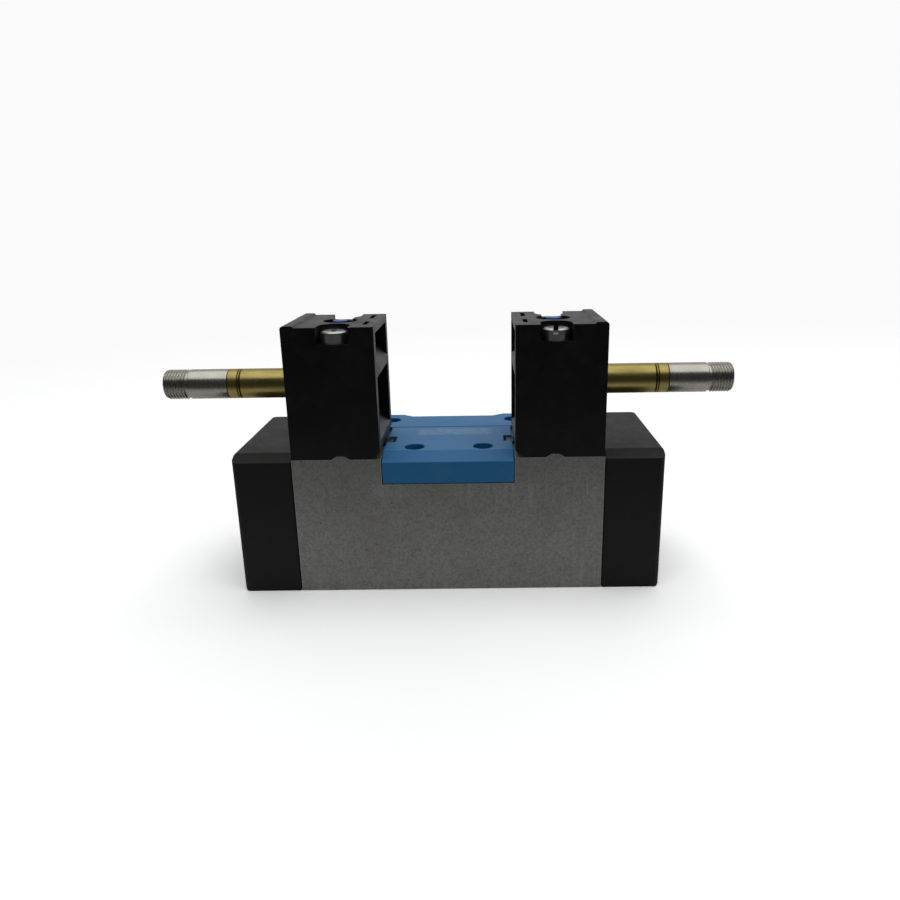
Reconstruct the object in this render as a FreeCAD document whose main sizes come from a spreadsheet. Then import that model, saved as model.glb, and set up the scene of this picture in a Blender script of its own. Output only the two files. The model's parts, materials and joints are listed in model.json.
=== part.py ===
import FreeCAD, Part
import math
import os
import re
import Sketcher

# A 5/2-way double-solenoid spool valve for a sub-base, without its coils.
# X runs along the spool, -Y is the front, +Z is up.  The origin is the middle of the mounting face.
# The valve is the same to the left and right, so right-hand pieces are modelled and mirrored in X.

doc = FreeCAD.newDocument("SolenoidValve")
sheet = doc.addObject("Spreadsheet::Sheet", "Dimensions")

SIZES = {
    # die-cast body
    "body_length": 80.0, "body_depth": 42.0, "body_height": 36.7,
    "bore_height": 17.0, "bore_radius": 9.5, "port_pitch": 10.0,
    "port_width": 6.4, "port_inner": 2.6, "port_outer": 9.0, "port_rise": 12.0,
    "pilot_port_place": 31.0, "pilot_port_radius": 1.5, "pilot_port_rise": 5.0,
    # bolts that hold the valve on its sub-base
    "front_bolt_place": 9.0, "rear_bolt_place": 18.0, "bolt_row": 14.0, "bolt_hole_radius": 2.6,
    # gasket under the ports
    "port_gasket_half": 35.0, "port_gasket_side": 10.6, "port_gasket_thick": 0.9, "seat_gap": 0.05,
    # end caps
    "cap_gasket_thick": 0.4, "cap_length": 15.1, "cap_height": 37.75, "slope_run": 3.7, "slope_drop": 1.65,
    "cap_corner": 1.4, "cap_edge": 0.5, "chamber_radius": 11.0, "chamber_depth": 11.2,
    "cap_screw_side": 15.5, "cap_screw_low": 5.5, "cap_screw_high": 31.5, "screw_radius": 2.0,
    "screw_hole_radius": 2.25, "tapped_radius": 2.03, "cap_head_radius": 3.5, "cap_head_height": 4.0,
    "cap_sink_radius": 3.75, "cap_screw_grip": 9.0, "tap_runout": 0.5, "hex_radius": 1.73, "hex_rise": 2.2,
    "sheet_margin": 0.4, "sheet_hole_margin": 0.2,
    # cover plate
    "plate_half": 16.9, "plate_top": 37.9, "plate_floor": 34.0, "plate_front_low": 30.05,
    "plate_lip": 2.4, "plate_gap": 0.15, "plate_rear_half": 24.0, "plate_rear": 20.5, "plate_middle": 18.3,
    "rear_edge_step": 1.9, "rear_edge_slope": 3.0,
    "plate_seam": 6.1, "seam_width": 0.5, "seam_drop": 0.45, "plate_slope_drop": 2.1,
    "notch_inner": 14.6, "notch_front": 9.2, "notch_back": 4.0,
    # pilot valve block
    "block_inner": 17.2, "block_outer": 39.9, "block_front": 21.0, "block_back": 6.0, "block_top": 70.25,
    "strip_width": 2.9, "strip_rise": 0.45, "strip_ramp": 0.5, "strip_corner": 0.8,
    "lug_reach": 1.9, "lug_rise": 0.8, "foot_chamfer": 2.0,
    "window_front": 18.2, "window_back": 3.2, "window_reach": 4.0, "window_top": 68.4, "ledge_back": 62.3,
    "ledge_front": 59.6, "rib_low": 57.3, "sill_back": 45.2, "sill_front": 40.7,
    "top_slot_near": 2.2, "top_slot_far": 3.4, "top_slot_front": 16.3, "top_slot_middle": 10.0,
    "top_slot_rear": 3.7, "ledge_reach": 2.5, "notch_play": 0.4,
    "pilot_screw_place": 27.35, "pilot_screw_side": 9.9, "pocket_radius": 3.95, "pocket_floor": 66.0,
    "pilot_head_radius": 3.4, "pilot_head_height": 3.1, "pilot_screw_grip": 7.0, "head_slot": 1.0,
    "slot_drop": 1.2,
    "relief_radius": 3.5, "relief_rise": 1.0, "relief_depth": 2.8, "relief_play": 1.25, "boss_half": 2.31,
    "boss_top_half": 1.05,
    "boss_rise": 0.85,
    # manual override
    "override_place": 27.5, "recess_radius": 4.45, "recess_drop": 0.9, "bridge_drop": 0.45,
    "button_radius": 1.88,
    "button_top": 70.3, "button_foot": 56.5, "flange_top": 62.0, "flange_thick": 1.0, "flange_radius": 2.8,
    "guide_radius": 2.95, "guide_bore": 1.95, "well_radius": 3.0, "well_floor": 58.2, "guide_head": 0.15,
    "foot_slope": 6.0,
    # armature tube, plunger and seat, along X at the middle of the block
    "tube_side": 7.5, "tube_height": 54.1, "tube_radius": 3.9, "tube_bore": 3.06, "tube_foot": 31.5,
    "collar_radius": 5.5, "collar_end": 38.9, "collar_bore": 5.6, "tube_joint": 57.6, "ring_place": 54.3,
    "ring_width": 0.3, "ring_depth": 0.2, "pole_face": 55.65, "thread_start": 68.1, "undercut_width": 0.5,
    "thread_radius": 3.9, "thread_root": 3.5, "tube_end": 74.55, "end_chamfer": 1.0,
    "plunger_radius": 3.0, "plunger_tail": 54.75, "nose_radius": 1.5,
    "nose_tip": 26.1, "cone_start": 27.6, "air_radius": 3.6, "air_start": 24.5,
    "spring_well_radius": 1.9, "spring_well_depth": 8.0, "disc_radius": 1.1, "disc_depth": 1.2,
    "nozzle_start": 23.9, "nozzle_radius": 1.5, "nozzle_tip_radius": 0.9, "orifice_radius": 0.5,
    "feed_place": 23.0, "feed_radius": 0.8, "signal_place": 29.0, "signal_radius": 1.0, "signal_height": 31.0,
    "signal_turn": 4.1, "pilot_gasket_thick": 0.9, "seal_groove_near": 1.6, "seal_groove_far": 3.2,
    "tube_seal_drop": 0.8,
    # spool train
    "spool_radius": 6.0, "relief_neck": 4.2, "land_half": 5.3, "spool_end": 42.9, "half_stroke": 2.5,
    "spigot_radius": 3.0, "spigot_length": 3.0, "piston_radius": 10.95, "piston_thick": 5.5,
    "seal_groove_radius": 8.8, "piston_seal_radius": 10.97, "piston_seal_width": 2.0, "cage_radius": 9.45,
    "cage_bore": 6.6, "seal_bore": 6.05, "seal_width": 2.3, "cage_window": 3.6,
}


def fill_sheet():
    """One row per driving dimension: its name, its value and an alias."""
    for row, (alias, number) in enumerate(SIZES.items(), start=1):
        sheet.set(f"A{row}", alias)
        sheet.set(f"B{row}", str(number))
        sheet.setAlias(f"B{row}", alias)
    doc.recompute()


def formula(text):
    """Points every dimension name in a formula at the sheet."""
    return re.sub(r"[a-z]+_[a-z_]+", lambda found: "Dimensions." + found.group(0), text)


def bind(thing, **properties):
    """Binds properties to formulas; a double underscore in a name stands for a dot."""
    for name, text in properties.items():
        thing.setExpression(name.replace("__", "."), formula(text))


# ---------------------------------------------------------------- sketches and PartDesign features

def new_body(label):
    body = doc.addObject("PartDesign::Body", label)
    body.Label = label
    return body


def sketch_on(body, role, raised="0"):
    """A sketch on one of the body's own origin planes, moved along the plane's normal."""
    plane = [item for item in body.Origin.OriginFeatures if item.Role == role][0]
    sketch = body.newObject("Sketcher::SketchObject", body.Name + "_sketch")
    sketch.AttachmentSupport = [(plane, "")]
    sketch.MapMode = "FlatFace"
    bind(sketch, AttachmentOffset__Base__z=raised)
    return sketch


def hold_point(sketch, geometry, corner, across, along):
    """Ties one point of the sketch to the sketch origin by two formulas."""
    for kind, text in (("DistanceX", across), ("DistanceY", along)):
        index = sketch.addConstraint(Sketcher.Constraint(kind, -1, 1, geometry, corner, 1.0))
        sketch.setExpression(f"Constraints[{index}]", formula(text))


def polygon(sketch, points):
    """A closed outline whose corners are pairs of formulas."""
    count = len(points)
    start = sketch.GeometryCount
    ring = [FreeCAD.Vector(20 * math.cos(2 * math.pi * k / count), 20 * math.sin(2 * math.pi * k / count), 0)
            for k in range(count)]
    for k in range(count):
        sketch.addGeometry(Part.LineSegment(ring[k], ring[(k + 1) % count]), False)
    for k in range(count):
        follower = start + (k + 1) % count
        sketch.addConstraint(Sketcher.Constraint("Coincident", start + k, 2, follower, 1))
    for k, (across, along) in enumerate(points):
        hold_point(sketch, start + k, 1, across, along)


def rectangle(sketch, low_across, high_across, low_along, high_along):
    polygon(sketch, [(low_across, low_along), (high_across, low_along),
                     (high_across, high_along), (low_across, high_along)])


def circle(sketch, across, along, radius):
    index = sketch.addGeometry(Part.Circle(FreeCAD.Vector(1, 1, 0), FreeCAD.Vector(0, 0, 1), 1.0), False)
    hold_point(sketch, index, 3, across, along)
    size = sketch.addConstraint(Sketcher.Constraint("Radius", index, 1.0))
    sketch.setExpression(f"Constraints[{size}]", formula(radius))


def pad(body, sketch, length, both_ways=False):
    feature = body.newObject("PartDesign::Pad", body.Name + "_pad")
    feature.Profile = sketch
    feature.Midplane = both_ways
    bind(feature, Length=length)
    doc.recompute()
    return feature


def pocket(body, sketch, length, both_ways=False):
    """A pocket that is turned round if it points away from the solid."""
    before = body.Shape.Volume
    feature = body.newObject("PartDesign::Pocket", body.Name + "_pocket")
    feature.Profile = sketch
    feature.Midplane = both_ways
    bind(feature, Length=length)
    doc.recompute()
    if body.Shape.Volume > before - 0.001:
        feature.Reversed = True
        doc.recompute()
    if body.Shape.Volume > before - 0.001:
        raise RuntimeError(feature.Name + " cuts nothing")
    return feature


def round_edges(body, base, radius, wanted):
    """Rounds each edge of the last feature whose middle and direction pass the test."""
    names = []
    for index, edge in enumerate(base.Shape.Edges, start=1):
        middle = edge.CenterOfMass
        direction = edge.tangentAt(edge.FirstParameter)
        if edge.Curve.TypeId == "Part::GeomLine" and wanted(middle, direction):
            names.append(f"Edge{index}")
    feature = body.newObject("PartDesign::Fillet", body.Name + "_fillet")
    feature.Base = (base, names)
    bind(feature, Radius=radius)
    doc.recompute()
    return feature


def turned(label, outline, across="0", height="0", along="0"):
    """A turned piece: an outline of (place along X, radius) formulas spun about the X axis."""
    body = new_body(label)
    sketch = sketch_on(body, "XY_Plane")
    polygon(sketch, outline)
    spin = body.newObject("PartDesign::Revolution", label + "_spin")
    spin.Profile = sketch
    spin.ReferenceAxis = (sketch, ["H_Axis"])
    spin.Angle = 360.0
    bind(body, Placement__Base__x=along, Placement__Base__y=across, Placement__Base__z=height)
    return body


# ---------------------------------------------------------------- Part primitives

ALONG_X = FreeCAD.Rotation(FreeCAD.Vector(0, 1, 0), 90)
UPRIGHT = FreeCAD.Rotation()


def rod(name, radius, start, length, along, across, height, turn=UPRIGHT):
    """A cylinder; start is added along its own axis."""
    piece = doc.addObject("Part::Cylinder", name)
    piece.Placement.Rotation = turn
    bind(piece, Radius=radius, Height=length)
    if turn is ALONG_X:
        bind(piece, Placement__Base__x=start, Placement__Base__y=across, Placement__Base__z=height)
    else:
        bind(piece, Placement__Base__x=along, Placement__Base__y=across, Placement__Base__z=start)
    return piece


def block(name, low, high):
    """A box between two corners, each a triple of formulas."""
    piece = doc.addObject("Part::Box", name)
    bind(piece, Placement__Base__x=low[0], Placement__Base__y=low[1], Placement__Base__z=low[2],
         Length=f"({high[0]}) - ({low[0]})", Width=f"({high[1]}) - ({low[1]})",
         Height=f"({high[2]}) - ({low[2]})")
    return piece


def joined(name, pieces):
    union = doc.addObject("Part::MultiFuse", name)
    union.Shapes = pieces
    return union


def cut(name, base, tool):
    piece = doc.addObject("Part::Cut", name)
    piece.Base = base
    piece.Tool = tool
    return piece


def group(label, pieces):
    """Identical loose pieces that share one node."""
    bundle = doc.addObject("Part::Compound", label)
    bundle.Label = label
    bundle.Links = pieces
    return bundle


def mirrored(label, source):
    twin = doc.addObject("Part::Mirroring", label)
    twin.Label = label
    twin.Source = source
    twin.Base = FreeCAD.Vector(0, 0, 0)
    twin.Normal = FreeCAD.Vector(1, 0, 0)
    return twin


# ---------------------------------------------------------------- body and what closes it

BOLT_ROWS = (("front_bolt_place", "-bolt_row"), ("rear_bolt_place", "bolt_row"))
BOLTS = [(f"{side}*{place}", row) for place, row in BOLT_ROWS for side in (-1, 1)]
CAP_SCREWS = [(f"{side}*cap_screw_side", level)
              for side in (-1, 1) for level in ("cap_screw_low", "cap_screw_high")]
PILOT_SCREWS = ["-tube_side - pilot_screw_side", "-tube_side + pilot_screw_side"]
# exhaust, supply, exhaust in the front row and the two outlets in the rear row
PORTS = [(f"{step}*port_pitch", side) for step, side in ((-2, -1), (0, -1), (2, -1), (-1, 1), (1, 1))]


def port_outlines(sketch, margin="0"):
    for centre, side in PORTS:
        edges = sorted([f"{side}*port_inner - {side}*({margin})", f"{side}*port_outer + {side}*({margin})"])
        half = f"(port_width/2 + {margin})"
        rectangle(sketch, f"{centre} - {half}", f"{centre} + {half}", *edges)


def make_valve_body():
    body = new_body("valve_body")
    plan = sketch_on(body, "XY_Plane")
    rectangle(plan, "-body_length/2", "body_length/2", "-body_depth/2", "body_depth/2")
    pad(body, plan, "body_height")

    bosses = sketch_on(body, "XZ_Plane", "body_depth/2 - relief_depth")
    for side in (-1, 1):
        middle = f"{side}*pilot_screw_place"
        polygon(bosses, [(f"{middle} - boss_half", "body_height - 1"),
                         (f"{middle} + boss_half", "body_height - 1"),
                         (f"{middle} + boss_half", "body_height"),
                         (f"{middle} + boss_top_half", "body_height + boss_rise"),
                         (f"{middle} - boss_top_half", "body_height + boss_rise"),
                         (f"{middle} - boss_half", "body_height")])
    pad(body, bosses, "relief_depth")

    seat = sketch_on(body, "XY_Plane", "body_height")
    polygon(seat, [("-plate_half - plate_gap", "-body_depth/2 - 1"),
                   ("plate_half + plate_gap", "-body_depth/2 - 1"),
                   ("plate_half + plate_gap", "plate_seam - plate_gap"),
                   ("plate_rear_half + plate_gap", "plate_seam - plate_gap"),
                   ("plate_rear_half + plate_gap", "plate_rear + plate_gap"),
                   ("-plate_rear_half - plate_gap", "plate_rear + plate_gap"),
                   ("-plate_rear_half - plate_gap", "plate_seam - plate_gap"),
                   ("-plate_half - plate_gap", "plate_seam - plate_gap")])
    pocket(body, seat, "body_height - plate_floor")
    lip = sketch_on(body, "XZ_Plane", "body_depth/2")
    rectangle(lip, "-plate_half - plate_gap", "plate_half + plate_gap",
              "plate_front_low - plate_gap", "plate_floor + 1")
    pocket(body, lip, "plate_lip + plate_gap")

    bore = sketch_on(body, "YZ_Plane")
    circle(bore, "0", "bore_height", "bore_radius")
    pocket(body, bore, "body_length + 2", both_ways=True)
    holes = sketch_on(body, "XY_Plane")
    for along, across in BOLTS:
        circle(holes, along, across, "bolt_hole_radius")
    pocket(body, holes, "2*body_height + 2", both_ways=True)

    gasket_bed = sketch_on(body, "XY_Plane")
    rectangle(gasket_bed, "-port_gasket_half", "port_gasket_half", "-port_gasket_side", "port_gasket_side")
    pocket(body, gasket_bed, "port_gasket_thick + 2*seat_gap")
    ports = sketch_on(body, "XY_Plane")
    port_outlines(ports)
    pocket(body, ports, "port_rise")
    pilot_ports = sketch_on(body, "XY_Plane")
    for side in (-1, 1):
        circle(pilot_ports, f"{side}*pilot_port_place", "0", "pilot_port_radius")
    pocket(body, pilot_ports, "pilot_port_rise")

    tapped = sketch_on(body, "XY_Plane", "body_height + relief_rise")
    for side in (-1, 1):
        for across in PILOT_SCREWS:
            circle(tapped, f"{side}*pilot_screw_place", across, "tapped_radius")
    pocket(body, tapped, "relief_rise + pilot_screw_grip + tap_runout")
    passages = sketch_on(body, "XY_Plane", "body_height")
    for side in (-1, 1):
        circle(passages, f"{side}*signal_place", "-tube_side", "signal_radius")
        circle(passages, f"{side}*feed_place", "-tube_side", "feed_radius")
    pocket(body, passages, "body_height - signal_height + signal_radius")
    for side in (-1, 1):
        face = sketch_on(body, "YZ_Plane", f"{side}*body_length/2")
        circle(face, "-tube_side", "signal_height", "signal_radius")
        drilling = pocket(body, face, "body_length/2 - signal_place")
        drilling.Reversed = side < 0
        face = sketch_on(body, "YZ_Plane", f"{side}*body_length/2")
        for across, level in CAP_SCREWS:
            circle(face, across, level, "tapped_radius")
        drilling = pocket(body, face, "cap_screw_grip + tap_runout")
        drilling.Reversed = side < 0
    return body


def make_port_gasket():
    body = new_body("port_gasket")
    sketch = sketch_on(body, "XY_Plane", "seat_gap")
    rectangle(sketch, "-port_gasket_half + sheet_hole_margin", "port_gasket_half - sheet_hole_margin",
              "-port_gasket_side + sheet_hole_margin", "port_gasket_side - sheet_hole_margin")
    pad(body, sketch, "port_gasket_thick")
    holes = sketch_on(body, "XY_Plane")
    port_outlines(holes, "sheet_hole_margin")
    for side in (-1, 1):
        circle(holes, f"{side}*pilot_port_place", "0", "pilot_port_radius + sheet_hole_margin")
    pocket(body, holes, "4", both_ways=True)
    return body


CAP_FACE = "body_length/2 + cap_gasket_thick"
CAP_END = CAP_FACE + " + cap_length"


def make_end_cap():
    body = new_body("end_cap_right")
    side = sketch_on(body, "YZ_Plane", CAP_FACE)
    polygon(side, [("-body_depth/2", "0"), ("body_depth/2", "0"), ("body_depth/2", "cap_height"),
                   ("-body_depth/2 + slope_run", "cap_height"), ("-body_depth/2", "cap_height - slope_drop")])
    solid = pad(body, side, "cap_length")
    end = SIZES["body_length"] / 2 + SIZES["cap_gasket_thick"] + SIZES["cap_length"]
    solid = round_edges(body, solid, "cap_corner",
                        lambda p, d: p.x > end - 0.01 and (abs(d.z) > 0.9 or p.z < 0.01))
    round_edges(body, solid, "cap_edge", lambda p, d: p.x > end - 0.01 and p.z > SIZES["cap_height"] - 0.01)

    chamber = sketch_on(body, "YZ_Plane", CAP_FACE)
    circle(chamber, "0", "bore_height", "chamber_radius")
    pocket(body, chamber, "chamber_depth")
    signal = sketch_on(body, "YZ_Plane", CAP_FACE)
    circle(signal, "-tube_side", "signal_height", "signal_radius")
    pocket(body, signal, "signal_turn + signal_radius")
    drop = sketch_on(body, "XY_Plane", "signal_height")
    circle(drop, CAP_FACE + " + signal_turn", "-tube_side", "signal_radius")
    pocket(body, drop, "signal_height - bore_height - chamber_radius/2")
    shanks = sketch_on(body, "YZ_Plane", CAP_FACE)
    for across, level in CAP_SCREWS:
        circle(shanks, across, level, "screw_hole_radius")
    pocket(body, shanks, "cap_length + 1")
    sinks = sketch_on(body, "YZ_Plane", CAP_END)
    for across, level in CAP_SCREWS:
        circle(sinks, across, level, "cap_sink_radius")
    pocket(body, sinks, "cap_head_height + 0.3")
    return body


def make_cap_gasket():
    body = new_body("cap_gasket_right")
    sheet_cut = sketch_on(body, "YZ_Plane", "body_length/2")
    rectangle(sheet_cut, "-body_depth/2 + sheet_margin", "body_depth/2 - sheet_margin",
              "sheet_margin", "body_height - sheet_margin")
    circle(sheet_cut, "0", "bore_height", "chamber_radius + sheet_hole_margin")
    circle(sheet_cut, "-tube_side", "signal_height", "signal_radius + sheet_hole_margin")
    for across, level in CAP_SCREWS:
        circle(sheet_cut, across, level, "screw_hole_radius")
    pad(body, sheet_cut, "cap_gasket_thick")
    return body


def make_cap_screws():
    """Four socket-head screws through the cap into the end of the body."""
    screws = []
    under_head = CAP_END + " - cap_head_height - 0.3"
    for number, (across, level) in enumerate(CAP_SCREWS, start=1):
        name = f"cap_screw_{number}"
        head = rod(name + "_head", "cap_head_radius", under_head, "cap_head_height",
                   "0", across, level, ALONG_X)
        shank_start = "body_length/2 - cap_screw_grip"
        shank = rod(name + "_shank", "screw_radius", shank_start, f"{under_head} - ({shank_start})",
                    "0", across, level, ALONG_X)
        socket = doc.addObject("Part::Prism", name + "_socket")
        socket.Polygon = 6
        socket.Placement.Rotation = ALONG_X
        bind(socket, Circumradius="hex_radius", Height="hex_rise + 1", Placement__Base__y=across,
             Placement__Base__z=level, Placement__Base__x=f"{under_head} + cap_head_height - hex_rise")
        screws.append(cut(name, joined(name + "_blank", [head, shank]), socket))
    return group("cap_screws_right", screws)


def make_cover_plate():
    body = new_body("cover_plate")
    side = sketch_on(body, "YZ_Plane")
    polygon(side, [("-body_depth/2", "plate_front_low"), ("-body_depth/2 + plate_lip", "plate_front_low"),
                   ("-body_depth/2 + plate_lip", "plate_floor"), ("plate_seam + 1", "plate_floor"),
                   ("plate_seam + 1", "plate_top"), ("-body_depth/2 + slope_run", "plate_top"),
                   ("-body_depth/2", "plate_top - plate_slope_drop")])
    pad(body, side, "2*plate_half", both_ways=True)
    rear = sketch_on(body, "XY_Plane", "plate_floor")
    polygon(rear, [("-plate_rear_half", "plate_seam"), ("plate_rear_half", "plate_seam"),
                   ("plate_rear_half", "plate_rear"), ("plate_half - rear_edge_step", "plate_rear"),
                   ("plate_half - rear_edge_step - rear_edge_slope", "plate_middle"),
                   ("rear_edge_step + rear_edge_slope - plate_half", "plate_middle"),
                   ("rear_edge_step - plate_half", "plate_rear"), ("-plate_rear_half", "plate_rear")])
    pad(body, rear, "plate_top - plate_floor")
    holes = sketch_on(body, "XY_Plane", "plate_floor")
    for along, across in BOLTS:
        circle(holes, along, across, "bolt_hole_radius")
    pocket(body, holes, "20", both_ways=True)
    notches = sketch_on(body, "XY_Plane", "plate_top")
    rectangle(notches, "notch_inner", "plate_half + 1", "-notch_front", "-notch_back")
    rectangle(notches, "-plate_half - 1", "-notch_inner", "-notch_front", "-notch_back")
    pocket(body, notches, "plate_top - plate_floor + 1")
    seam = sketch_on(body, "XY_Plane", "plate_top")
    rectangle(seam, "-plate_half - 1", "plate_half + 1", "plate_seam - seam_width", "plate_seam")
    pocket(body, seam, "seam_drop")
    return body


# ---------------------------------------------------------------- pilot valve, right-hand one

def make_pilot_block():
    body = new_body("pilot_block_right")
    plan = sketch_on(body, "XY_Plane", "body_height")
    rectangle(plan, "block_inner", "block_outer", "-block_front", "block_back")
    pad(body, plan, "block_top - body_height")
    strip = sketch_on(body, "XZ_Plane", "-block_back")
    polygon(strip, [("block_outer - strip_width - strip_ramp", "block_top - 1"),
                    ("block_outer", "block_top - 1"),
                    ("block_outer", "block_top + strip_rise"),
                    ("block_outer - strip_width", "block_top + strip_rise"),
                    ("block_outer - strip_width - strip_ramp", "block_top")])
    solid = pad(body, strip, "block_front + block_back")
    outer = SIZES["block_outer"] - 0.01
    back = SIZES["block_back"] - 0.01
    round_edges(body, solid, "strip_corner",
                lambda p, d: p.x > outer and (p.z > SIZES["block_top"] or abs(d.z) > 0.9 and p.y > back))

    foot = sketch_on(body, "XZ_Plane", "block_front + 1")
    polygon(foot, [("block_inner - 1", "body_height - 1"),
                   ("block_inner + foot_chamfer + 1", "body_height - 1"),
                   ("block_inner - 1", "body_height + foot_chamfer + 1")])
    pocket(body, foot, "block_front + block_back + 2")
    lug = sketch_on(body, "XY_Plane", "body_height")
    rectangle(lug, "block_inner - lug_reach", "block_inner + foot_chamfer + 1",
              "-notch_front + notch_play", "-notch_back - notch_play")
    pad(body, lug, "lug_rise")

    relief = sketch_on(body, "XZ_Plane", "block_front + 1")
    circle(relief, "pilot_screw_place", "body_height + relief_rise - relief_radius", "relief_radius")
    pocket(body, relief, "relief_depth + relief_play")

    for low_back, low_front, depth_low, top in (("ledge_back", "ledge_front", "ledge_reach", "window_top"),
                                                ("sill_back", "sill_front", "window_reach", "rib_low")):
        window = sketch_on(body, "XZ_Plane", "window_front")
        polygon(window, [("block_inner - 1", low_front), ("block_inner", low_front),
                         (f"block_inner + {depth_low}", low_back),
                         ("block_inner + window_reach + 0.01", low_back),
                         ("block_inner + window_reach + 0.01", top), ("block_inner - 1", top)])
        pocket(body, window, "window_front + window_back")
    slots = sketch_on(body, "XY_Plane", "block_top")
    rectangle(slots, "block_inner + top_slot_near", "block_inner + top_slot_far",
              "-top_slot_front", "-top_slot_middle")
    rectangle(slots, "block_inner + top_slot_near", "block_inner + top_slot_far",
              "-top_slot_rear", "window_back - 0.3")
    pocket(body, slots, "block_top - window_top + 1")

    screw_pockets = sketch_on(body, "XY_Plane", "block_top")
    for across in PILOT_SCREWS:
        circle(screw_pockets, "pilot_screw_place", across, "pocket_radius")
    pocket(body, screw_pockets, "block_top - pocket_floor")
    mouths = sketch_on(body, "XY_Plane", "block_top")
    for low, high in (("-block_front - 1", PILOT_SCREWS[0]), (PILOT_SCREWS[1], "block_back + 1")):
        rectangle(mouths, "pilot_screw_place - pocket_radius", "pilot_screw_place + pocket_radius", low, high)
    pocket(body, mouths, "block_top - pocket_floor")
    shanks = sketch_on(body, "XY_Plane", "body_height")
    for across in PILOT_SCREWS:
        circle(shanks, "pilot_screw_place", across, "screw_hole_radius")
    pocket(body, shanks, "2*(block_top - body_height) + 2", both_ways=True)

    recess = sketch_on(body, "XY_Plane", "block_top")
    circle(recess, "override_place", "-tube_side", "recess_radius")
    pocket(body, recess, "recess_drop")
    bridge = sketch_on(body, "XY_Plane", "block_top")
    rectangle(bridge, "override_place - recess_radius*0.6", "override_place + recess_radius*0.6",
              "-tube_side", "-tube_side + pilot_screw_side")
    pocket(body, bridge, "bridge_drop")
    well = sketch_on(body, "XY_Plane", "block_top")
    circle(well, "override_place", "-tube_side", "well_radius")
    pocket(body, well, "block_top - well_floor")
    stem_hole = sketch_on(body, "XY_Plane", "block_top")
    circle(stem_hole, "override_place", "-tube_side", "guide_bore")
    pocket(body, stem_hole, "block_top - tube_height")

    collar_seat = sketch_on(body, "YZ_Plane", "block_outer")
    circle(collar_seat, "-tube_side", "tube_height", "collar_bore")
    pocket(body, collar_seat, "block_outer - tube_foot + 0.1")
    air = sketch_on(body, "YZ_Plane", "block_outer")
    circle(air, "-tube_side", "tube_height", "air_radius")
    pocket(body, air, "block_outer - air_start")
    nozzle_seat = sketch_on(body, "YZ_Plane", "block_outer")
    circle(nozzle_seat, "-tube_side", "tube_height", "nozzle_radius + seat_gap")
    pocket(body, nozzle_seat, "block_outer - feed_place")
    feeds = sketch_on(body, "XY_Plane", "tube_height")
    circle(feeds, "feed_place", "-tube_side", "feed_radius")
    circle(feeds, "signal_place", "-tube_side", "signal_radius")
    pocket(body, feeds, "tube_height - body_height + 1")
    gasket_bed = sketch_on(body, "XY_Plane", "body_height")
    rectangle(gasket_bed, "feed_place - 2.2", "signal_place + 3", "-tube_side - 4", "-tube_side + 4")
    pocket(body, gasket_bed, "pilot_gasket_thick + seat_gap")
    return body


def make_pilot_gasket():
    body = new_body("pilot_gasket_right")
    outline = sketch_on(body, "XY_Plane", "body_height + 0.02")
    rectangle(outline, "feed_place - 2", "signal_place + 2.8", "-tube_side - 3.8", "-tube_side + 3.8")
    circle(outline, "feed_place", "-tube_side", "feed_radius + 0.1")
    circle(outline, "signal_place", "-tube_side", "signal_radius + 0.1")
    pad(body, outline, "pilot_gasket_thick")
    return body


def make_pilot_screws():
    """Two cheese-head screws that hold the pilot valve on the body."""
    screws = []
    foot = "body_height - pilot_screw_grip"
    for number, across in enumerate(PILOT_SCREWS, start=1):
        name = f"pilot_screw_{number}"
        place = ("pilot_screw_place", across)
        head = rod(name + "_head", "pilot_head_radius", "pocket_floor", "pilot_head_height", *place, "0")
        shank = rod(name + "_shank", "screw_radius", foot, f"pocket_floor + 0.1 - ({foot})", *place, "0")
        head_top = "pocket_floor + pilot_head_height"
        slot = block(name + "_slot",
                     ("pilot_screw_place - 4", f"{across} - head_slot/2", f"{head_top} - slot_drop"),
                     ("pilot_screw_place + 4", f"{across} + head_slot/2", f"{head_top} + 1"))
        screws.append(cut(name, joined(name + "_blank", [head, shank]), slot))
    return group("pilot_screws_right", screws)


ON_AXIS = {"across": "-tube_side", "height": "tube_height"}


def make_armature_tube():
    return turned("armature_tube_right", [
        ("tube_foot", "tube_bore"), ("tube_joint", "tube_bore"), ("tube_joint", "tube_radius"),
        ("ring_place + ring_width", "tube_radius"), ("ring_place + ring_width", "tube_radius - ring_depth"),
        ("ring_place", "tube_radius - ring_depth"), ("ring_place", "tube_radius"),
        ("collar_end", "tube_radius"), ("collar_end", "collar_radius"),
        ("tube_foot + seal_groove_far", "collar_radius"),
        ("tube_foot + seal_groove_far", "collar_radius - tube_seal_drop"),
        ("tube_foot + seal_groove_near", "collar_radius - tube_seal_drop"),
        ("tube_foot + seal_groove_near", "collar_radius"), ("tube_foot", "collar_radius")], **ON_AXIS)


def make_tube_seal():
    near = "tube_foot + seal_groove_near + seat_gap"
    far = "tube_foot + seal_groove_far - seat_gap"
    inner = "collar_radius - tube_seal_drop + seat_gap"
    outer = "collar_radius + seat_gap"
    return turned("tube_seal_right", [(near, inner), (far, inner), (far, outer), (near, outer)], **ON_AXIS)


def make_pole_piece():
    return turned("pole_piece_right", [
        ("pole_face", "0"), ("tube_end", "0"), ("tube_end", "thread_radius - end_chamfer"),
        ("tube_end - end_chamfer", "thread_radius"), ("thread_start + undercut_width", "thread_radius"),
        ("thread_start + undercut_width", "thread_root"), ("thread_start", "thread_root"),
        ("thread_start", "tube_radius"), ("tube_joint + 0.02", "tube_radius"),
        ("tube_joint + 0.02", "tube_bore - 0.02"), ("pole_face", "tube_bore - 0.02")], **ON_AXIS)


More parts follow.
